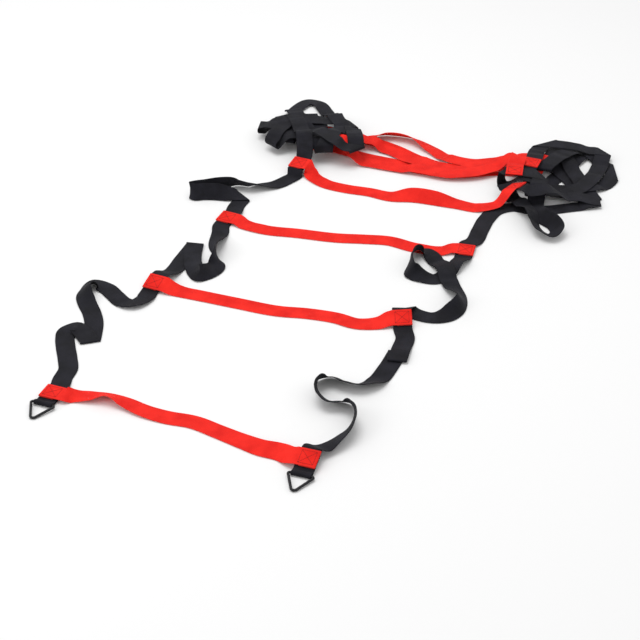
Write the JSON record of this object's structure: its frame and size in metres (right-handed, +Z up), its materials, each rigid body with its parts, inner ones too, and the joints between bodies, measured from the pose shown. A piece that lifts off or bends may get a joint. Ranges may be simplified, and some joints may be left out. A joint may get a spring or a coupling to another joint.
{
  "type": "agility ladder",
  "caption": "Flat webbing agility ladder with black side rails, red rungs sewn across them and a triangular wire ring at each rail's near end.",
  "frame": {"origin": "middle of the ladder's bounding box in plan, on the floor", "axes": "+X across the ladder to its right, +Y along the rails away from the rings, +Z up from the floor"},
  "size_m": [0.8324, 1.1755, 0.0466],
  "materials": {
    "black_webbing": "matt woven",
    "red_webbing": "matt woven",
    "red_thread": "sewn thread",
    "black_wire": "satin black paint"
  },
  "bodies": {
    "ladder": {"rail_left": "black_webbing", "rail_right": "black_webbing", "rung_1": "red_webbing", "rung_2": "red_webbing", "rung_3": "red_webbing", "rung_4": "red_webbing", "rung_5": "red_webbing", "rung_6": "red_webbing", "rung_7": "red_webbing", "rung_8": "red_webbing", "rung_9": "red_webbing", "stitch_1_left": "red_thread", "stitch_1_right": "red_thread", "stitch_2_left": "red_thread", "stitch_2_right": "red_thread", "stitch_3_left": "red_thread", "stitch_3_right": "red_thread", "stitch_4_left": "red_thread", "stitch_4_right": "red_thread", "stitch_5_left": "red_thread", "stitch_5_right": "red_thread", "stitch_6_left": "red_thread", "stitch_6_right": "red_thread", "stitch_7_left": "red_thread", "stitch_7_right": "red_thread", "stitch_8_left": "red_thread", "stitch_8_right": "red_thread", "stitch_9_left": "red_thread", "stitch_9_right": "red_thread"},
    "ring_left": {"ring_left": "black_wire"},
    "ring_right": {"ring_right": "black_wire"}
  },
  "joints": [
    {"name": "ring_left_swing", "type": "hinge", "parent": "ladder", "child": "ring_left", "pos_m": [-0.36541, -0.47443, 0.0042], "axis": [0.9877, -0.1564, 0], "range_deg": [-120, 120]},
    {"name": "ring_right_swing", "type": "hinge", "parent": "ladder", "child": "ring_right", "pos_m": [0.0363, -0.55296, 0.00348], "axis": [0.9925, -0.1219, 0], "range_deg": [-120, 120]}
  ]
}
